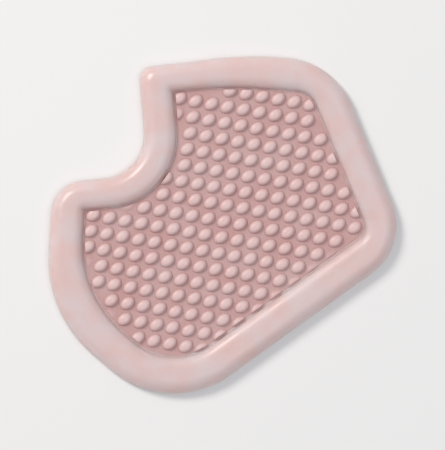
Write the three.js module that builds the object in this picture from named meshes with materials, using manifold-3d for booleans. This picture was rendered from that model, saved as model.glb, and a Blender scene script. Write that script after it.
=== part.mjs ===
// A metatarsal pad: one soft gel moulding for the ball of the right foot.
// It lies on its flat, tacky skin face at z = 0, with the nubs up.
// +Y points to the toes, +X to the big toe's side. All sizes are in millimetres.

import * as THREE from 'three';
import { mergeGeometries, mergeVertices } from 'three/addons/utils/BufferGeometryUtils.js';
import Module from 'manifold-3d';

const wasm = await Module();
wasm.setup();

// The outline is a polygon with rounded corners, walked anticlockwise from above.
// outer and inner are a corner's radii on the rim's outer and inner edge.
// rim is the rim's width along the side that follows the corner.
const CORNERS = [
  { name: 'heel_inner', x: 9.9, y: -39.0, outer: 15.8, inner: 5.3, rim: 6.5 },
  { name: 'arch_bow', x: 20.9, y: -25.7, outer: 72.0, inner: 80.0, rim: 5.5 },
  { name: 'arm_tip', x: 31.9, y: -5.4, outer: 2.8, inner: 0.6, rim: 6.4 },
  { name: 'toe_notch', x: 13.0, y: 5.7, outer: 9.0, inner: 14.6, rim: 5.8 },
  { name: 'toe_inner', x: 22.6, y: 22.8, outer: 7.2, inner: 0.6, rim: 6.6 },
  { name: 'toe_crest', x: 1.4, y: 39.6, outer: 25.8, inner: 24.6, rim: 7.3 },
  { name: 'toe_outer', x: -30.9, y: 31.1, outer: 19.9, inner: 12.8, rim: 7.1 },
  { name: 'heel_outer', x: -30.2, y: -30.0, outer: 12.2, inner: 3.4, rim: 6.6 },
];

// Heights above the skin face
const FLOOR_HEIGHT = 1.6;
const NUB_HEIGHT = 0.85;
const LIP_HEIGHT = 2.5;
const CREST_HEIGHT = 3.6;
const WALL_HEIGHT = 0.8;

// The rim's section: where its crest runs, as a share of its width, how far the inner slope
// turns before it meets the lip, and the small round at the foot of the outer wall.
const CREST_SHARE = 0.45;
const INNER_TURN = THREE.MathUtils.degToRad(66);
const FOOT_ROUND_SHARE = 0.04;
const FOOT_ROUND_HEIGHT = 0.3;
const OUTER_STEPS = 5;
const INNER_STEPS = 3;

// Nubs: low oval frusta, about 2.1 wide and 2.9 long at the floor, on a square lattice turned
// 45 degrees to the pad's length. Their long axis runs along the pad, and their roots are sunk
// into the floor. The radii are an oval's mean ones, which the stretch makes wide and long.
const NUB_PITCH = 3.33;
const NUB_LATTICE_TURN = THREE.MathUtils.degToRad(45);
const NUB_ORIGIN = new THREE.Vector2(-4.0, -6.3);
const NUB_TOP_RADIUS = 0.75;
const NUB_ROOT_RADIUS = 1.42;
const NUB_STRETCH = new THREE.Vector2(0.86, 1.2);
const NUB_ROOT_DEPTH = 0.4;
const NUB_SIDES = 8;

// A nub's centre lies at least this far inside the field, and lattice rows and columns
// are tried this far either side of the lattice's origin.
const NUB_DEPTH_IN_FIELD = 0.35;
const NUB_REACH = 14;

// The skin face and the floor are fanned from here
const MIDDLE = new THREE.Vector2(-5, 0);

// How finely the rounded corners are faceted
const CORNER_STEP = THREE.MathUtils.degToRad(9);
const CORNER_STEPS_MIN = 5;

// Each side's line, moved into the pad by its share of the rim's width
function movedSides(share) {
  return CORNERS.map((corner, i) => {
    const next = CORNERS[(i + 1) % CORNERS.length];
    const along = new THREE.Vector2(next.x - corner.x, next.y - corner.y).normalize();
    const inward = new THREE.Vector2(-along.y, along.x);
    const start = new THREE.Vector2(corner.x, corner.y).addScaledVector(inward, corner.rim * share);
    return { start, along };
  });
}

// The point where two lines meet
function meeting(a, b) {
  const gap = b.start.clone().sub(a.start);
  const distance = gap.cross(b.along) / a.along.cross(b.along);
  return a.start.clone().addScaledVector(a.along, distance);
}

// How far the outline turns at a corner: left is positive, and the notch turns right
function cornerTurn(before, after) {
  return Math.atan2(before.cross(after), before.dot(after));
}

// One corner's arc as points, from its start on the side before to its end on the side after
function cornerArc(point, before, after, radius, steps) {
  const turn = cornerTurn(before, after);
  const start = point.clone().addScaledVector(before, -radius * Math.tan(Math.abs(turn) / 2));
  const toCentre = new THREE.Vector2(-before.y, before.x).multiplyScalar(radius * Math.sign(turn));
  const centre = start.clone().add(toCentre);
  return Array.from({ length: steps + 1 }, (_, k) =>
    start.clone().rotateAround(centre, (turn * k) / steps));
}

// The outline at a share of the rim's width: 0 is its outer edge, 1 its inner edge.
// Every outline has the same number of points, so outlines can be joined by strips.
function outline(share) {
  const sides = movedSides(share);
  return CORNERS.flatMap((corner, i) => {
    const before = sides[(i + CORNERS.length - 1) % CORNERS.length];
    const after = sides[i];
    const turn = Math.abs(cornerTurn(before.along, after.along));
    const steps = Math.max(CORNER_STEPS_MIN, Math.round(turn / CORNER_STEP));
    const radius = THREE.MathUtils.lerp(corner.outer, corner.inner, share);
    return cornerArc(meeting(before, after), before.along, after.along, radius, steps);
  });
}

// The rim's section from the skin face, over the crest, down to the field's floor
function rimSection() {
  const rows = [
    { share: FOOT_ROUND_SHARE, height: 0 },
    { share: 0, height: FOOT_ROUND_HEIGHT },
  ];
  for (let k = 0; k < OUTER_STEPS; k += 1) {
    const angle = ((Math.PI / 2) * k) / OUTER_STEPS;
    rows.push({
      share: CREST_SHARE * (1 - Math.cos(angle)),
      height: WALL_HEIGHT + (CREST_HEIGHT - WALL_HEIGHT) * Math.sin(angle),
    });
  }
  for (let k = 0; k <= INNER_STEPS; k += 1) {
    const angle = (INNER_TURN * k) / INNER_STEPS;
    const across = Math.sin(angle) / Math.sin(INNER_TURN);
    const drop = (1 - Math.cos(angle)) / (1 - Math.cos(INNER_TURN));
    rows.push({
      share: CREST_SHARE + (1 - CREST_SHARE) * across,
      height: CREST_HEIGHT - (CREST_HEIGHT - LIP_HEIGHT) * drop,
    });
  }
  rows.push({ share: 1, height: FLOOR_HEIGHT });
  return rows;
}

// The pad without its nubs: strips up and over the rim, closed by the skin face and the floor,
// which are fans round a middle that sees the whole outline
function padBody() {
  const rings = rimSection().map(({ share, height }) => ({ points: outline(share), height }));
  const count = rings[0].points.length;
  const positions = rings.flatMap(({ points, height }) => points.flatMap((p) => [p.x, p.y, height]));
  const top = (rings.length - 1) * count;
  const skinMiddle = rings.length * count;
  const floorMiddle = skinMiddle + 1;
  positions.push(MIDDLE.x, MIDDLE.y, 0, MIDDLE.x, MIDDLE.y, FLOOR_HEIGHT);
  const faces = [];
  for (let i = 0; i < count; i += 1) {
    const j = (i + 1) % count;
    for (let base = 0; base < top; base += count) {
      faces.push(base + i, base + j, base + j + count);
      faces.push(base + i, base + j + count, base + i + count);
    }
    faces.push(skinMiddle, j, i, floorMiddle, top + i, top + j);
  }
  const geometry = new THREE.BufferGeometry();
  geometry.setAttribute('position', new THREE.Float32BufferAttribute(positions, 3));
  geometry.setIndex(faces);
  return geometry;
}

// A point's distance inside a closed outline, negative outside it
function depthInside(point, points) {
  let inside = false;
  let nearest = Infinity;
  points.forEach((a, i) => {
    const b = points[(i + 1) % points.length];
    const side = b.clone().sub(a);
    const along = THREE.MathUtils.clamp(point.clone().sub(a).dot(side) / side.lengthSq(), 0, 1);
    nearest = Math.min(nearest, a.clone().addScaledVector(side, along).distanceTo(point));
    const crosses = (a.y > point.y) !== (b.y > point.y);
    if (crosses && point.x < a.x + (side.x * (point.y - a.y)) / side.y) inside = !inside;
  });
  return inside ? nearest : -nearest;
}

// Lattice points in the field. The rim's inner edge cuts into the nubs nearest to it.
function nubCentres() {
  const edge = outline(1);
  const centres = [];
  for (let row = -NUB_REACH; row <= NUB_REACH; row += 1) {
    for (let column = -NUB_REACH; column <= NUB_REACH; column += 1) {
      const centre = new THREE.Vector2(column * NUB_PITCH, row * NUB_PITCH)
        .rotateAround(new THREE.Vector2(), NUB_LATTICE_TURN)
        .add(NUB_ORIGIN);
      if (depthInside(centre, edge) > NUB_DEPTH_IN_FIELD) centres.push(centre);
    }
  }
  return centres;
}

// All nubs, each turned so that two of its flats face along the pad, then stretched to an oval
function nubField() {
  const height = NUB_HEIGHT + NUB_ROOT_DEPTH;
  const nub = new THREE.CylinderGeometry(NUB_TOP_RADIUS, NUB_ROOT_RADIUS, height, NUB_SIDES);
  nub.rotateX(Math.PI / 2);
  nub.rotateZ(Math.PI / NUB_SIDES);
  nub.scale(NUB_STRETCH.x, NUB_STRETCH.y, 1);
  const middle = FLOOR_HEIGHT - NUB_ROOT_DEPTH + height / 2;
  return mergeGeometries(nubCentres().map((c) => nub.clone().translate(c.x, c.y, middle)));
}

// A closed geometry as a solid for joining
function toSolid(geometry) {
  geometry.deleteAttribute('normal');
  geometry.deleteAttribute('uv');
  const merged = mergeVertices(geometry);
  return new wasm.Manifold(new wasm.Mesh({
    numProp: 3,
    vertProperties: merged.attributes.position.array,
    triVerts: new Uint32Array(merged.index.array),
  }));
}

// A joined solid as a geometry, centred over the origin
function toGeometry(solid) {
  const mesh = solid.getMesh();
  const geometry = new THREE.BufferGeometry();
  geometry.setAttribute('position', new THREE.BufferAttribute(mesh.vertProperties, 3));
  geometry.setIndex(new THREE.BufferAttribute(mesh.triVerts, 1));
  geometry.computeBoundingBox();
  const centre = geometry.boundingBox.getCenter(new THREE.Vector3());
  geometry.translate(-centre.x, -centre.y, 0);
  geometry.computeVertexNormals();
  return geometry;
}

// Milky pink gel with a satin skin
function gelMaterial() {
  return new THREE.MeshStandardMaterial({ color: 0xd9b4ae, roughness: 0.45, metalness: 0 });
}

// The whole moulding as one named piece
function gelPad() {
  const solid = toSolid(padBody()).add(toSolid(nubField()));
  const mesh = new THREE.Mesh(toGeometry(solid), gelMaterial());
  mesh.name = 'gel_pad';
  return mesh;
}

const pad = new THREE.Group();
pad.add(gelPad());

export default pad;
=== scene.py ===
"""A metatarsal pad: one soft gel moulding with a raised rim and a field of small nubs."""

import math

import bmesh
import bpy
import numpy as np
from bpy.props import FloatProperty, FloatVectorProperty, PointerProperty
from mathutils import Matrix, Vector


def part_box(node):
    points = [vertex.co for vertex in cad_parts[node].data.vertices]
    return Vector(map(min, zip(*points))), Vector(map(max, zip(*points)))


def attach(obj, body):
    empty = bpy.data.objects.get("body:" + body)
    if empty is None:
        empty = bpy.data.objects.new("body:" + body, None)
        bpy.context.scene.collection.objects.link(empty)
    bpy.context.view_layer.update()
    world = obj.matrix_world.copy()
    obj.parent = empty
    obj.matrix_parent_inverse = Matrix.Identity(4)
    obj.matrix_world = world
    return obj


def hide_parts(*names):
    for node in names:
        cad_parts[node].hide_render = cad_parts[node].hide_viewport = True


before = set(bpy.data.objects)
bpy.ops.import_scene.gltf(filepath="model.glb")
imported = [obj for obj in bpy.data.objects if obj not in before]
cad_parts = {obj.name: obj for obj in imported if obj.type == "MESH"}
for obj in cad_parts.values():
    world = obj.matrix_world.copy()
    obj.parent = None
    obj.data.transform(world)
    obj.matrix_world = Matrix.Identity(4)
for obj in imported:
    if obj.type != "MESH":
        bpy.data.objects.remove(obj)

bl_info = {
    "name": "Metatarsal Pad",
    "version": (1, 0, 0),
    "blender": (4, 5, 0),
    "location": "View3D > Sidebar > Pad",
    "description": "Models a gel metatarsal pad with a raised rim, nubs and a toe notch",
    "category": "Add Mesh",
}

MM = 0.001
NODE = "gel_pad"
LOW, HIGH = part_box(NODE)
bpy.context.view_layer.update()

# The outline is a polygon with rounded corners, walked anticlockwise from above, in mm.
# outer and inner are a corner's radii on the rim's outer and inner edge, and
# rim is the rim's width along the side that follows the corner.
CORNER_COLUMNS = ("name", "x", "y", "outer", "inner", "rim")
CORNER_ROWS = (
    ("heel_inner", 9.9, -39.0, 15.8, 5.3, 6.5),
    ("arch_bow", 20.9, -25.7, 72.0, 80.0, 5.5),
    ("arm_tip", 31.9, -5.4, 2.8, 0.6, 6.4),
    ("toe_notch", 13.0, 5.7, 9.0, 14.6, 5.8),
    ("toe_inner", 22.6, 22.8, 7.2, 0.6, 6.6),
    ("toe_crest", 1.4, 39.6, 25.8, 24.6, 7.3),
    ("toe_outer", -30.9, 31.1, 19.9, 12.8, 7.1),
    ("heel_outer", -30.2, -30.0, 12.2, 3.4, 6.6),
)
CORNERS = [dict(zip(CORNER_COLUMNS, row)) for row in CORNER_ROWS]

# How finely the outline is stepped: the turn of one step at a corner, the fewest steps that a
# corner has, and one step along a straight side in mm
CORNER_STEP = math.radians(3.5)
CORNER_STEPS_MIN = 8
SIDE_STEP = 2.0

# The rim's section: its steps, how far its inner side turns on the way down from the crest, the
# power that makes that turn fuller than a circle's, and the small round under its outer side
OUTER_STEPS = 12
INNER_STEPS = 14
INNER_TURN = math.radians(80)
INNER_POWER = 0.76
BASE_SHARE = 0.04
BASE_HEIGHT = 0.3 * MM
BASE_STEPS = 4

# One nub as rings, from where its root meets the floor to its top: each ring's radius and height
# as shares of the nub's
NUB_ROWS = (
    (1.10, 0.0),
    (0.98, 0.28),
    (0.80, 0.75),
    (0.47, 0.96),
)
NUB_SIDES = 12

# Where one nub is centred, before the outline is centred on the frame, and how many cells the
# nubs' lattice has each way before it is cut to the field
NUB_ORIGIN = Vector((-4.0 * MM, -6.3 * MM))
FIELD_CELLS = 30

# A nub whose centre is nearer to the rim than NUB_CLEAR is left out, and one that is nearer
# than NUB_WHOLE is lower than the rest
NUB_CLEAR = 0.35 * MM
NUB_WHOLE = 0.8 * MM

# The shallow groove between the rim and the field: the height of its floor, the hollow round
# that the rim's inner side runs out in, the rim's base, and the field's edge at the groove's
# floor, at the field's floor and above the nubs. Places across it are shares of the rim's width.
GROOVE_FLOOR = 1.55 * MM
HOLLOW_SHARE = 1.02
HOLLOW_HEIGHT = 0.4 * MM
HOLLOW_STEPS = 5
RIM_BASE_SHARE = 1.075
FIELD_EDGE_SHARES = (1.085, 1.11, 1.125)

# The nub sheet's underside, hidden inside the core, and how far its cutter reaches past it
SHEET_BOTTOM = 0.6 * MM
CUTTER_PAST = 0.2 * MM

# Edges that turn more than this stay sharp, and points nearer than this are one point
SHARP_ANGLE = math.radians(48)
MERGE = 1e-6

# The rim's gel is palest from this height up, and the shade painted on the field's gel would be
# darkest this far below its floor
RIM_PALE_HEIGHT = 2.4 * MM
PAINTED_SHADE_DROP = 0.3 * MM

# How the finishes differ: the strength and reach of their milky glow, the amount of clouds, the
# roughness without and with clouds, the ripple and grain, and the strength and depth of both
FINISHES = {
    "gel_rim": dict(glow=1.0, reach=4.0 * MM, clouds=0.7, clear=0.29, cloudy=0.42,
                    ripple=1.0, grain=0.12, strength=0.3, depth=0.12 * MM),
    "gel_field": dict(glow=0.25, reach=0.5 * MM, clouds=0.2, clear=0.36, cloudy=0.46,
                      ripple=0.6, grain=0.15, strength=0.35, depth=0.1 * MM),
    "gel_tacky": dict(glow=0.35, reach=0.7 * MM, clouds=0.35, clear=0.16, cloudy=0.26,
                      ripple=1.0, grain=0.1, strength=0.3, depth=0.15 * MM),
}

# The gel's refraction, and how far its glow spreads in red, green and blue as shares of its reach
GEL_IOR = 1.45
GLOW_SPREAD = (1.0, 0.75, 0.7)

# Noise textures, each with its scale, detail and roughness, and how the two of the clouds are
# added and cut off
BROAD_CLOUDS = (190, 2, 0.45)
FINE_CLOUDS = (800, 1, 0.4)
FINE_CLOUD_SHARE = 0.2
CLOUD_RANGE = (0.38, 0.84)
FINE_RIPPLE = (420, 2, 0.5)
FINE_GRAIN = (5200, 2, 0.55)

# The colour sockets of a Mix node, which have the same names as its other sockets
MIX_FIRST, MIX_SECOND, MIX_RESULT = 6, 7, 2

# The photo's up and right in the pad's frame
PHOTO_UP = Vector((0.818, -0.575, 0.0)).normalized()
PHOTO_RIGHT = PHOTO_UP.cross(Vector((0, 0, 1)))

# The soft lights, each placed to the right, up and high in the photo's directions, in metres,
# and the room's own light
LIGHTS = (
    dict(name="key", right=-0.58, up=0.52, height=0.70, size=0.36, power=7.0,
         colour=(1.0, 0.95, 0.90)),
    dict(name="fill", right=0.4, up=-0.2, height=1.4, size=1.2, power=7.2,
         colour=(0.96, 0.975, 1.0)),
)
ROOM_COLOUR = (0.965, 0.975, 1.0)
ROOM_STRENGTH = 0.43

# The studio floor lies just under the pad
FLOOR_RADIUS = 2.5
FLOOR_SIDES = 96
FLOOR_DROP = 0.05 * MM

# The camera's lens and sensor in mm, the picture in pixels, how much of it the pad fills, and
# the nearest and farthest things that show
LENS, SENSOR = 150.0, 36.0
FRAME_WIDTH, FRAME_HEIGHT = 445, 450
VIEW_FILL = 0.78
CLIP_NEAR, CLIP_FAR = 0.01, 10.0


class PadSizes(bpy.types.PropertyGroup):
    """The moulding's heights above its underside, and its nubs."""

    crest_height: FloatProperty(
        name="Crest height", description="Top of the rim above the underside",
        default=HIGH.z, min=0.002, unit="LENGTH")
    floor_height: FloatProperty(
        name="Floor height", description="Field's floor above the underside",
        default=1.6 * MM, min=0.001, unit="LENGTH")
    wall_height: FloatProperty(
        name="Wall height", description="Upright part of the rim's outer side",
        default=0.8 * MM, min=0.0004, unit="LENGTH")
    crest_share: FloatProperty(
        name="Crest place", description="Where the crest runs, as a share of the rim's width",
        default=0.45, min=0.2, max=0.8, subtype="FACTOR")
    nub_pitch: FloatProperty(
        name="Nub pitch", description="Distance between neighbouring nubs",
        default=3.33 * MM, min=0.002, unit="LENGTH")
    nub_radius: FloatProperty(
        name="Nub radius", description="Mean radius of an oval nub near its base",
        default=1.36 * MM, min=0.0004, unit="LENGTH")
    nub_breadth: FloatProperty(
        name="Nub breadth", description="An oval nub's breadth as a share of its mean width",
        default=0.86, min=0.5, max=1, subtype="FACTOR")
    nub_length: FloatProperty(
        name="Nub length", description="An oval nub's length as a share of its mean width",
        default=1.2, min=1, max=1.5)
    nub_height: FloatProperty(
        name="Nub height", description="Top of a nub above the floor",
        default=0.92 * MM, min=0.0002, unit="LENGTH")
    nub_turn: FloatProperty(
        name="Nub turn", description="Turn of the nubs' square lattice from the pad's length",
        default=math.radians(45), subtype="ANGLE", unit="ROTATION")


class GelColours(bpy.types.PropertyGroup):
    """Colours of the gel, of the shade painted between its nubs, and of the studio floor."""

    rim: FloatVectorProperty(
        name="Rim", description="Gel on the rim",
        subtype="COLOR", size=3, default=(0.66, 0.497, 0.48), min=0, max=1)
    nub: FloatVectorProperty(
        name="Nubs", description="Gel on the nubs' tops",
        subtype="COLOR", size=3, default=(0.685, 0.483, 0.472), min=0, max=1)
    # Painted shade: a darker colour painted on the gel between the nubs and in the groove
    painted_valley_shade: FloatVectorProperty(
        name="Valley", description="Gel between the nubs and in the groove",
        subtype="COLOR", size=3, default=(0.45, 0.249, 0.238), min=0, max=1)
    cloud: FloatVectorProperty(
        name="Cloud", description="Milky clouds in the gel",
        subtype="COLOR", size=3, default=(0.645, 0.57, 0.58), min=0, max=1)
    tacky: FloatVectorProperty(
        name="Tacky face", description="Gel on the flat underside",
        subtype="COLOR", size=3, default=(0.66, 0.46, 0.44), min=0, max=1)
    stage: FloatVectorProperty(
        name="Floor", description="Studio floor",
        subtype="COLOR", size=3, default=(0.78, 0.78, 0.78), min=0, max=1)


# Outline


def moved_sides(share):
    """Each side's start and direction, moved into the pad by its share of the rim's width."""
    sides = []
    for corner, after in zip(CORNERS, CORNERS[1:] + CORNERS[:1]):
        along = Vector((after["x"] - corner["x"], after["y"] - corner["y"])).normalized()
        inward = Vector((-along.y, along.x))
        start = Vector((corner["x"], corner["y"])) + inward * corner["rim"] * share
        sides.append((start, along))
    return sides


def meeting(first, second):
    """The point where two lines meet."""
    gap = second[0] - first[0]
    distance = gap.cross(second[1]) / first[1].cross(second[1])
    return first[0] + first[1] * distance


def corner_turn(before, after):
    """How far the outline turns at a corner: left is positive."""
    return math.atan2(before.cross(after), before.dot(after))


def corner_arc(point, before, after, radius, steps):
    """A corner's arc as points, from its start on the side before to its end on the side after."""
    turn = corner_turn(before, after)
    start = point - before * radius * math.tan(abs(turn) / 2)
    centre = start + Vector((-before.y, before.x)) * math.copysign(radius, turn)
    spoke = start - centre
    return [centre + Matrix.Rotation(turn * k / steps, 2) @ spoke for k in range(steps + 1)]


def corner_arcs(share):
    """The arcs of all corners at a share of the rim's width."""
    sides = moved_sides(share)
    arcs = []
    for i, corner in enumerate(CORNERS):
        before, after = sides[i - 1], sides[i]
        turn = abs(corner_turn(before[1], after[1]))
        steps = max(CORNER_STEPS_MIN, round(turn / CORNER_STEP))
        radius = corner["outer"] + (corner["inner"] - corner["outer"]) * share
        arcs.append(corner_arc(meeting(before, after), before[1], after[1], radius, steps))
    return arcs


def side_steps():
    """How many steps each straight side takes, the same on every outline."""
    arcs = corner_arcs(0)
    lengths = [(b[0] - a[-1]).length for a, b in zip(arcs, arcs[1:] + arcs[:1])]
    return [max(1, round(length / SIDE_STEP)) for length in lengths]


def plain_outline(share):
    """The outline before it is centred: 0 is the rim's outer edge, 1 its inner edge, in metres."""
    arcs = corner_arcs(share)
    points = []
    for arc, after, steps in zip(arcs, arcs[1:] + arcs[:1], side_steps()):
        points += arc
        points += [arc[-1].lerp(after[0], k / steps) for k in range(1, steps)]
    return [p * MM for p in points]


def outline_shift():
    """What centres the outline on the frame's box."""
    edge = plain_outline(0)
    middle = [(min(p[k] for p in edge) + max(p[k] for p in edge)) / 2 for k in (0, 1)]
    return Vector(((LOW.x + HIGH.x) / 2 - middle[0], (LOW.y + HIGH.y) / 2 - middle[1]))


SHIFT = outline_shift()
LATTICE_ORIGIN = NUB_ORIGIN + SHIFT


def outline(share):
    """The centred outline at a share of the rim's width."""
    return [p + SHIFT for p in plain_outline(share)]


def depth_inside(points, edge):
    """How far each point lies inside a closed edge, negative outside it, as an array."""
    p = np.array(points, float)[:, None, :]
    a = np.array([tuple(v) for v in edge], float)[None]
    b = np.roll(a, -1, axis=1)
    side = b - a
    along = np.clip(((p - a) * side).sum(2) / (side * side).sum(2), 0, 1)
    nearest = np.linalg.norm(a + along[..., None] * side - p, axis=2).min(1)
    straddles = (a[..., 1] > p[..., 1]) != (b[..., 1] > p[..., 1])
    rise = np.where(side[..., 1] == 0, 1, side[..., 1])
    crossing = a[..., 0] + side[..., 0] * (p[..., 1] - a[..., 1]) / rise
    inside = (straddles & (p[..., 0] < crossing)).sum(1) % 2 == 1
    return np.where(inside, nearest, -nearest)


# Modelling steps


def deselect_all():
    """Leaves edit mode with nothing selected."""
    if bpy.context.object and bpy.context.object.mode == "EDIT":
        bpy.ops.object.mode_set(mode="OBJECT")
    bpy.ops.object.select_all(action="DESELECT")


def select_only(obj):
    """Makes one object the selected and active one."""
    deselect_all()
    obj.select_set(True)
    bpy.context.view_layer.objects.active = obj


def place_ring(obj, points, height):
    """Moves the selected ring's vertices to points, each by its station round the ring."""
    mesh = bmesh.from_edit_mesh(obj.data)
    station = mesh.verts.layers.int["station"]
    for vert in mesh.verts:
        if vert.select:
            x, y = points[vert[station]]
            vert.co = (x, y, height)
    bmesh.update_edit_mesh(obj.data)


def start_ring(name, points, height):
    """A new object in edit mode with one ring of edges, all selected."""
    deselect_all()
    bpy.ops.mesh.primitive_circle_add(vertices=len(points), fill_type="NOTHING")
    obj = bpy.context.object
    obj.name = obj.data.name = name
    obj.data.attributes.new("station", "INT", "POINT")
    obj.data.attributes["station"].data.foreach_set("value", range(len(points)))
    bpy.ops.object.mode_set(mode="EDIT")
    bpy.ops.mesh.select_all(action="SELECT")
    place_ring(obj, points, height)
    return obj


def extrude_ring(obj, points, height):
    """Extrudes the selected ring and moves the new one to its place."""
    bpy.ops.mesh.extrude_edges_move()
    place_ring(obj, points, height)


def select_boundary(obj):
    """Selects the open edges."""
    bpy.ops.mesh.select_all(action="DESELECT")
    mesh = bmesh.from_edit_mesh(obj.data)
    for edge in mesh.edges:
        if edge.is_boundary:
            edge.select_set(True)
    bmesh.update_edit_mesh(obj.data)


def apply_modifier(obj, name):
    """Makes an object active and applies one of its modifiers."""
    select_only(obj)
    bpy.ops.object.modifier_apply(modifier=name)


def finish_closed():
    """Merges the doubles of the closed mesh in edit mode, turns its faces out and leaves it."""
    bpy.ops.mesh.select_all(action="SELECT")
    bpy.ops.mesh.remove_doubles(threshold=MERGE)
    bpy.ops.mesh.dissolve_degenerate(threshold=MERGE)
    bpy.ops.mesh.normals_make_consistent(inside=False)
    bpy.ops.object.mode_set(mode="OBJECT")


def boolean(obj, other, operation):
    """Joins or cuts one solid with another, which is used up."""
    modifier = obj.modifiers.new("boolean", "BOOLEAN")
    modifier.operation = operation
    modifier.solver = "EXACT"
    modifier.object = other
    apply_modifier(obj, "boolean")
    bpy.data.objects.remove(other)


# The rim and its core


def full_turn(angle):
    """How far across and how high a turn fuller than a circle's is at an angle from its top."""
    return math.sin(angle) ** INNER_POWER, math.cos(angle) ** INNER_POWER


def rim_section(sizes):
    """The rim's section as (share, height), from the underside over the crest to the groove."""
    wall, crest, crest_share = sizes.wall_height, sizes.crest_height, sizes.crest_share
    rows = []
    for k in range(BASE_STEPS + 1):
        angle = math.pi / 2 * k / BASE_STEPS
        rows.append((BASE_SHARE * (1 - math.sin(angle)), BASE_HEIGHT * (1 - math.cos(angle))))
    for k in range(OUTER_STEPS):
        angle = math.pi / 2 * k / OUTER_STEPS
        rows.append((crest_share * (1 - math.cos(angle)), wall + (crest - wall) * math.sin(angle)))
    hollow = GROOVE_FLOOR + HOLLOW_HEIGHT
    end_across, end_level = full_turn(INNER_TURN)
    for k in range(INNER_STEPS + 1):
        across, level = full_turn(INNER_TURN * k / INNER_STEPS)
        rows.append((crest_share + (HOLLOW_SHARE - crest_share) * across / end_across,
                     crest - (crest - hollow) * (1 - level) / (1 - end_level)))
    for k in range(1, HOLLOW_STEPS + 1):
        angle = math.pi / 2 * k / HOLLOW_STEPS
        rows.append((HOLLOW_SHARE + (RIM_BASE_SHARE - HOLLOW_SHARE) * (1 - math.cos(angle)),
                     hollow - HOLLOW_HEIGHT * math.sin(angle)))
    return rows


def model_core(sizes):
    """The closed moulding without its nubs: a ring extruded along the rim's section and capped."""
    section = rim_section(sizes)
    share, height = section[0]
    core = start_ring("pad_core", outline(share), height)
    bpy.ops.mesh.edge_face_add()
    for share, height in section[1:]:
        extrude_ring(core, outline(share), height)
    bpy.ops.mesh.edge_face_add()
    finish_closed()
    return core


# The nubs


def square_ring(pitch):
    """A cell's border as a ring of as many points as a nub has, from just above +X."""
    half, sixth = pitch / 2, pitch / 6
    quarter = [Vector((half, sixth)), Vector((half, half)), Vector((sixth, half))]
    return [Matrix.Rotation(math.pi / 2 * k, 2) @ p for k in range(4) for p in quarter]


def oval_ring(radius, sizes):
    """A nub's ring in the unturned cell: an oval whose long axis will lie along the pad."""
    turn = Matrix.Rotation(sizes.nub_turn, 2)
    stretch = Matrix(((sizes.nub_breadth * radius, 0), (0, sizes.nub_length * radius)))
    angles = [math.pi / NUB_SIDES + math.tau / NUB_SIDES * k for k in range(NUB_SIDES)]
    circle = [Vector((math.cos(angle), math.sin(angle))) for angle in angles]
    return [turn.transposed() @ stretch @ turn @ p for p in circle]


def model_nub_cell(sizes):
    """One square of floor with its nub: the border ring extruded inwards, up and over."""
    floor = sizes.floor_height
    cell = start_ring("nub_sheet", square_ring(sizes.nub_pitch), floor)
    for radius, height in NUB_ROWS:
        ring = oval_ring(radius * sizes.nub_radius, sizes)
        extrude_ring(cell, ring, floor + height * sizes.nub_height)
    bpy.ops.mesh.extrude_edges_move()
    bpy.ops.mesh.merge(type="CENTER")
    mesh = bmesh.from_edit_mesh(cell.data)
    peak = min(mesh.verts, key=lambda v: v.co.xy.length)
    peak.co.z = floor + sizes.nub_height
    bmesh.update_edit_mesh(cell.data)
    bpy.ops.object.mode_set(mode="OBJECT")
    return cell


def repeat_cell(cell, sizes):
    """Repeats the cell in rows and columns, turned to the lattice and set on its origin."""
    for name, offset in (("columns", (sizes.nub_pitch, 0, 0)), ("rows", (0, sizes.nub_pitch, 0))):
        array = cell.modifiers.new(name, "ARRAY")
        array.count = FIELD_CELLS
        array.use_relative_offset = False
        array.use_constant_offset = True
        array.constant_offset_displace = offset
        array.use_merge_vertices = True
        array.merge_threshold = MERGE
        apply_modifier(cell, name)
    turn = Matrix.Rotation(sizes.nub_turn, 2)
    middle = turn @ Vector((1, 1)) * sizes.nub_pitch * (FIELD_CELLS // 2)
    place = LATTICE_ORIGIN - middle
    cell.location = (place.x, place.y, 0)
    cell.rotation_euler.z = sizes.nub_turn
    bpy.ops.object.transform_apply(location=True, rotation=True, scale=False)


def cell_centres(points, sizes):
    """The centre of the lattice cell that each point lies in, as an array."""
    turn = np.array(Matrix.Rotation(sizes.nub_turn, 2))
    origin = np.array(LATTICE_ORIGIN)
    steps = np.round((np.array(points) - origin) @ turn / sizes.nub_pitch)
    return origin + steps * sizes.nub_pitch @ turn.T


def drop_far_cells(sheet, sizes):
    """Deletes the cells that don't reach the field."""
    bpy.ops.object.mode_set(mode="EDIT")
    bpy.ops.mesh.select_all(action="DESELECT")
    mesh = bmesh.from_edit_mesh(sheet.data)
    faces = list(mesh.faces)
    centres = cell_centres([f.calc_center_median().xy for f in faces], sizes)
    reach = sizes.nub_pitch / math.sqrt(2)
    for face, depth in zip(faces, depth_inside(centres, outline(1))):
        face.select_set(bool(depth < -reach))
    bmesh.update_edit_mesh(sheet.data)
    bpy.ops.mesh.delete(type="FACE")


def lower_edge_nubs(sheet, sizes):
    """Lowers the nubs next to the rim, down to the floor where their centre is under its edge."""
    floor = sizes.floor_height
    raised = [v for v in sheet.data.vertices if v.co.z > floor + MERGE]
    depths = depth_inside(cell_centres([v.co.xy for v in raised], sizes), outline(1))
    for vert, depth in zip(raised, depths):
        share = min(max((depth - NUB_CLEAR) / (NUB_WHOLE - NUB_CLEAR), 0), 1)
        vert.co.z = floor + (vert.co.z - floor) * share


def close_sheet(sheet):
    """Extrudes the sheet's border down into the core and caps it."""
    select_boundary(sheet)
    bpy.ops.mesh.extrude_edges_move()
    mesh = bmesh.from_edit_mesh(sheet.data)
    for vert in mesh.verts:
        if vert.select:
            vert.co.z = SHEET_BOTTOM
    bmesh.update_edit_mesh(sheet.data)
    bpy.ops.mesh.edge_face_add()
    finish_closed()


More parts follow.
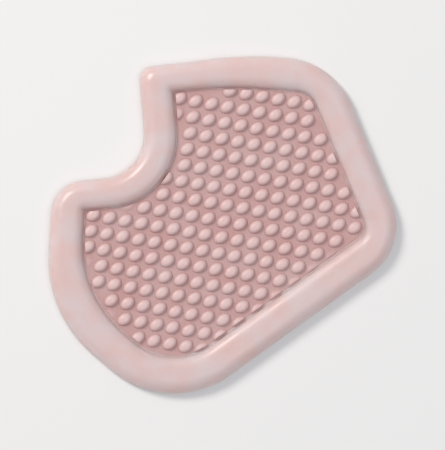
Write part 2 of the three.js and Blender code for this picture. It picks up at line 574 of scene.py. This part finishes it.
def model_field_cutter(sizes):
    """A block with the field's outline, whose sides lean in above the groove's floor."""
    base, floor, top = FIELD_EDGE_SHARES
    cutter = start_ring("field_cutter", outline(base), SHEET_BOTTOM - CUTTER_PAST)
    bpy.ops.mesh.edge_face_add()
    extrude_ring(cutter, outline(base), GROOVE_FLOOR)
    extrude_ring(cutter, outline(floor), sizes.floor_height)
    extrude_ring(cutter, outline(top), sizes.floor_height + sizes.nub_height + CUTTER_PAST)
    bpy.ops.mesh.edge_face_add()
    finish_closed()
    return cutter


def model_nub_sheet(sizes):
    """The field as a closed sheet with all its nubs, cut to its edge beside the groove."""
    sheet = model_nub_cell(sizes)
    repeat_cell(sheet, sizes)
    drop_far_cells(sheet, sizes)
    close_sheet(sheet)
    lower_edge_nubs(sheet, sizes)
    boolean(sheet, model_field_cutter(sizes), "INTERSECT")
    return sheet


def unite(core, sheet):
    """Joins the sheet to the core as one closed moulding."""
    boolean(core, sheet, "UNION")
    core.name = core.data.name = "pad_moulding"
    bpy.ops.object.mode_set(mode="EDIT")
    finish_closed()
    station = core.data.attributes.get("station")
    if station:
        core.data.attributes.remove(station)
    bpy.ops.object.shade_smooth_by_angle(angle=SHARP_ANGLE)


# Materials


def new_group(name, inputs, outputs):
    """A shader node group with named sockets, and its two ends."""
    group = bpy.data.node_groups.new(name, "ShaderNodeTree")
    for socket, value in inputs.items():
        made = group.interface.new_socket(socket, in_out="INPUT", socket_type="NodeSocketFloat")
        made.default_value = value
    for socket in outputs:
        group.interface.new_socket(socket, in_out="OUTPUT", socket_type="NodeSocketFloat")
    return group, group.nodes.new("NodeGroupInput"), group.nodes.new("NodeGroupOutput")


def noise_node(tree, scale, detail, roughness):
    """A noise texture on Object coordinates, as a value."""
    place = tree.nodes.new("ShaderNodeTexCoord")
    noise = tree.nodes.new("ShaderNodeTexNoise")
    noise.inputs["Scale"].default_value = scale
    noise.inputs["Detail"].default_value = detail
    noise.inputs["Roughness"].default_value = roughness
    tree.links.new(place.outputs["Object"], noise.inputs["Vector"])
    return noise.outputs["Fac"]


def map_range(tree, source, low, high, to_low=0.0, to_high=1.0):
    """Maps a value smoothly from one range to another."""
    node = tree.nodes.new("ShaderNodeMapRange")
    node.interpolation_type = "SMOOTHSTEP"
    ends = {"From Min": low, "From Max": high, "To Min": to_low, "To Max": to_high}
    for socket, value in ends.items():
        node.inputs[socket].default_value = value
    tree.links.new(source, node.inputs["Value"])
    return node.outputs["Result"]


def maths(tree, operation, first, second):
    """A maths node on two sockets, or on a socket and a number."""
    node = tree.nodes.new("ShaderNodeMath")
    node.operation = operation
    for socket, value in zip(node.inputs, (first, second)):
        if isinstance(value, (int, float)):
            socket.default_value = value
        else:
            tree.links.new(value, socket)
    return node.outputs["Value"]


def mix_colour(tree, factor, first, second):
    """Mixes two colours, each a socket or a colour, by a factor socket."""
    node = tree.nodes.new("ShaderNodeMix")
    node.data_type = "RGBA"
    tree.links.new(factor, node.inputs["Factor"])
    for socket, value in ((node.inputs[MIX_FIRST], first), (node.inputs[MIX_SECOND], second)):
        if isinstance(value, bpy.types.NodeSocket):
            tree.links.new(value, socket)
        else:
            socket.default_value = (*value, 1)
    return node.outputs[MIX_RESULT]


def cloud_group():
    """Milky clouds inside the gel, as a mask."""
    group, start, end = new_group("gel_cloud", {"Amount": 0.5}, ["Mask"])
    broad = noise_node(group, *BROAD_CLOUDS)
    fine = maths(group, "MULTIPLY", noise_node(group, *FINE_CLOUDS), FINE_CLOUD_SHARE)
    mask = map_range(group, maths(group, "ADD", broad, fine), *CLOUD_RANGE)
    group.links.new(maths(group, "MULTIPLY", mask, start.outputs["Amount"]), end.inputs["Mask"])
    return group


def grain_group():
    """The moulded surface's faint ripple and grain, as a height."""
    group, start, end = new_group("gel_grain", {"Ripple": 1.0, "Grain": 0.3}, ["Height"])
    ripple = maths(group, "MULTIPLY", noise_node(group, *FINE_RIPPLE), start.outputs["Ripple"])
    grain = maths(group, "MULTIPLY", noise_node(group, *FINE_GRAIN), start.outputs["Grain"])
    group.links.new(maths(group, "ADD", ripple, grain), end.inputs["Height"])
    return group


def use_group(tree, group, **values):
    """A group's node with its values set."""
    node = tree.nodes.new("ShaderNodeGroup")
    node.node_tree = group
    for socket, value in values.items():
        node.inputs[socket].default_value = value
    return node


def height_share(tree, low, high):
    """A place's height as a share of the way from low to high."""
    place = tree.nodes.new("ShaderNodeTexCoord")
    apart = tree.nodes.new("ShaderNodeSeparateXYZ")
    tree.links.new(place.outputs["Object"], apart.inputs["Vector"])
    return map_range(tree, apart.outputs["Z"], low, high)


def gel_shader(material, finish):
    """Sets up a material's shader as gel with a milky glow."""
    material.use_nodes = True
    shader = material.node_tree.nodes["Principled BSDF"]
    shader.inputs["IOR"].default_value = GEL_IOR
    shader.inputs["Subsurface Weight"].default_value = finish["glow"]
    shader.inputs["Subsurface Radius"].default_value = GLOW_SPREAD
    shader.inputs["Subsurface Scale"].default_value = finish["reach"]
    return shader


def add_bump(tree, shader, height, finish):
    """Feeds a height to the shader's normal."""
    bump = tree.nodes.new("ShaderNodeBump")
    bump.inputs["Strength"].default_value = finish["strength"]
    bump.inputs["Distance"].default_value = finish["depth"]
    tree.links.new(height, bump.inputs["Height"])
    tree.links.new(bump.outputs["Normal"], shader.inputs["Normal"])


def gel_material(name, cloud, grain, cloud_colour, shade):
    """A gel finish: clouds over the shade that a function makes, uneven gloss and a fine relief."""
    finish = FINISHES[name]
    material = bpy.data.materials.new(name)
    shader = gel_shader(material, finish)
    tree = material.node_tree
    mask = use_group(tree, cloud, Amount=finish["clouds"]).outputs["Mask"]
    colour = mix_colour(tree, mask, shade(tree), cloud_colour)
    tree.links.new(colour, shader.inputs["Base Color"])
    gloss = map_range(tree, mask, 0, finish["clouds"], finish["clear"], finish["cloudy"])
    tree.links.new(gloss, shader.inputs["Roughness"])
    relief = use_group(tree, grain, Ripple=finish["ripple"], Grain=finish["grain"])
    add_bump(tree, shader, relief.outputs["Height"], finish)
    return material


def rim_material(colours, cloud, grain):
    """The satin gel of the rim: milky, and a little deeper in colour at its base."""
    def shade(tree):
        return mix_colour(tree, height_share(tree, 0, RIM_PALE_HEIGHT), colours.nub, colours.rim)

    return gel_material("gel_rim", cloud, grain, colours.cloud, shade)


def field_material(colours, sizes, cloud, grain):
    """The satin gel of the field, paler on the nubs' tops, with shade painted darker and deeper in
    colour between them.
    """
    def shade(tree):
        floor = sizes.floor_height
        # Painted shade: the gel's colour darkens from the nubs' tops down into the valleys and the
        # groove
        rise = height_share(tree, floor - PAINTED_SHADE_DROP, floor + sizes.nub_height)
        return mix_colour(tree, rise, colours.painted_valley_shade, colours.nub)

    return gel_material("gel_field", cloud, grain, colours.cloud, shade)


def tacky_material(colours, cloud, grain):
    """The gel of the flat, clinging underside: glossier, with a faint unevenness."""
    return gel_material("gel_tacky", cloud, grain, colours.cloud, lambda tree: colours.tacky)


def assign_materials(pad, rim, field, tacky):
    """The tacky gel on the underside, the field's gel inside the rim, the rim's gel elsewhere."""
    finishes = (rim, field, tacky)
    pad.data.materials.clear()
    for material in finishes:
        pad.data.materials.append(material)
    polygons = pad.data.polygons
    depths = depth_inside([p.center.xy for p in polygons], outline(RIM_BASE_SHARE))
    for polygon, depth in zip(polygons, depths):
        if polygon.center.z < MERGE and polygon.normal.z < 0:
            finish = tacky
        else:
            finish = field if depth > 0 else rim
        polygon.material_index = finishes.index(finish)


# Stage


def matt_material(name, colour):
    """A plain studio surface without gloss."""
    material = bpy.data.materials.new(name)
    material.use_nodes = True
    shader = material.node_tree.nodes["Principled BSDF"]
    shader.inputs["Base Color"].default_value = (*colour, 1)
    shader.inputs["Roughness"].default_value = 1.0
    shader.inputs["Specular IOR Level"].default_value = 0.0
    return material


def area_light(name, right, up, height, size, power, colour):
    """A soft light that looks at the pad and doesn't show in the picture."""
    place = PHOTO_RIGHT * right + PHOTO_UP * up + Vector((0, 0, height))
    light = bpy.data.lights.new(name, "AREA")
    light.shape = "DISK"
    light.size = size
    light.energy = power
    light.color = colour
    obj = bpy.data.objects.new(name, light)
    bpy.context.scene.collection.objects.link(obj)
    obj.location = place
    obj.rotation_euler = (-place).to_track_quat("-Z", "Y").to_euler()
    obj.visible_camera = False


# Operators and their panel


class PAD_OT_moulding(bpy.types.Operator):
    """Model the gel moulding: rim, notch, field and nubs"""

    bl_idname = "pad.moulding"
    bl_label = "Gel moulding"
    bl_options = {"REGISTER", "UNDO"}

    def execute(self, context):
        sizes, colours = context.scene.pad_sizes, context.scene.gel_colours
        core = model_core(sizes)
        sheet = model_nub_sheet(sizes)
        unite(core, sheet)
        cloud, grain = cloud_group(), grain_group()
        rim = rim_material(colours, cloud, grain)
        field = field_material(colours, sizes, cloud, grain)
        assign_materials(core, rim, field, tacky_material(colours, cloud, grain))
        deselect_all()
        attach(core, "root")
        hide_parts(NODE)
        return {"FINISHED"}


class PAD_OT_stage(bpy.types.Operator):
    """Add the pale floor, the soft lights and the room's light"""

    bl_idname = "pad.stage"
    bl_label = "Stage"
    bl_options = {"REGISTER", "UNDO"}

    def execute(self, context):
        deselect_all()
        bpy.ops.mesh.primitive_circle_add(
            vertices=FLOOR_SIDES, radius=FLOOR_RADIUS, fill_type="NGON",
            location=(0, 0, LOW.z - FLOOR_DROP))
        floor = context.object
        floor.name = "studio_floor"
        floor.data.materials.append(matt_material("studio_floor", context.scene.gel_colours.stage))
        for light in LIGHTS:
            area_light(**light)
        world = bpy.data.worlds.new("studio")
        world.use_nodes = True
        backdrop = world.node_tree.nodes["Background"]
        backdrop.inputs["Color"].default_value = (*ROOM_COLOUR, 1)
        backdrop.inputs["Strength"].default_value = ROOM_STRENGTH
        context.scene.world = world
        context.scene.view_settings.view_transform = "Standard"
        return {"FINISHED"}


class PAD_OT_camera(bpy.types.Operator):
    """Add the camera, which looks straight at the nub side as the photo does"""

    bl_idname = "pad.camera"
    bl_label = "Camera"
    bl_options = {"REGISTER", "UNDO"}

    def execute(self, context):
        edge = outline(0)
        spans = []
        middle = Vector((0, 0, 0))
        for direction in (PHOTO_RIGHT, PHOTO_UP):
            along = [p.x * direction.x + p.y * direction.y for p in edge]
            spans.append(max(along) - min(along))
            middle += direction * (max(along) + min(along)) / 2
        per_pixel = max(spans[0] / FRAME_WIDTH, spans[1] / FRAME_HEIGHT)
        widest = per_pixel * max(FRAME_WIDTH, FRAME_HEIGHT)
        camera = bpy.data.cameras.new("camera")
        camera.lens = LENS
        camera.sensor_width = SENSOR
        distance = widest / VIEW_FILL * LENS / SENSOR
        camera.clip_start = CLIP_NEAR
        camera.clip_end = CLIP_FAR
        obj = bpy.data.objects.new("camera", camera)
        context.scene.collection.objects.link(obj)
        obj.location = middle + Vector((0, 0, distance))
        obj.rotation_euler = (0, 0, math.atan2(PHOTO_RIGHT.y, PHOTO_RIGHT.x))
        context.scene.camera = obj
        return {"FINISHED"}


class PAD_PT_panel(bpy.types.Panel):
    """Sizes, colours and the steps that build the pad"""

    bl_idname = "PAD_PT_panel"
    bl_label = "Metatarsal Pad"
    bl_space_type = "VIEW_3D"
    bl_region_type = "UI"
    bl_category = "Pad"

    def draw(self, context):
        for group in (context.scene.pad_sizes, context.scene.gel_colours):
            box = self.layout.box()
            for name in group.bl_rna.properties.keys():
                if name not in ("rna_type", "name"):
                    box.prop(group, name)
        for step in STEPS:
            self.layout.operator(step.bl_idname)


STEPS = (PAD_OT_moulding, PAD_OT_stage, PAD_OT_camera)
CLASSES = (PadSizes, GelColours, *STEPS, PAD_PT_panel)


def register():
    for cls in CLASSES:
        bpy.utils.register_class(cls)
    bpy.types.Scene.pad_sizes = PointerProperty(type=PadSizes)
    bpy.types.Scene.gel_colours = PointerProperty(type=GelColours)


def unregister():
    del bpy.types.Scene.gel_colours
    del bpy.types.Scene.pad_sizes
    for cls in reversed(CLASSES):
        bpy.utils.unregister_class(cls)


def main():
    """Builds the pad and its stage."""
    register()
    bpy.ops.pad.moulding()
    bpy.ops.pad.stage()
    bpy.ops.pad.camera()


if __name__ == "__main__":
    main()
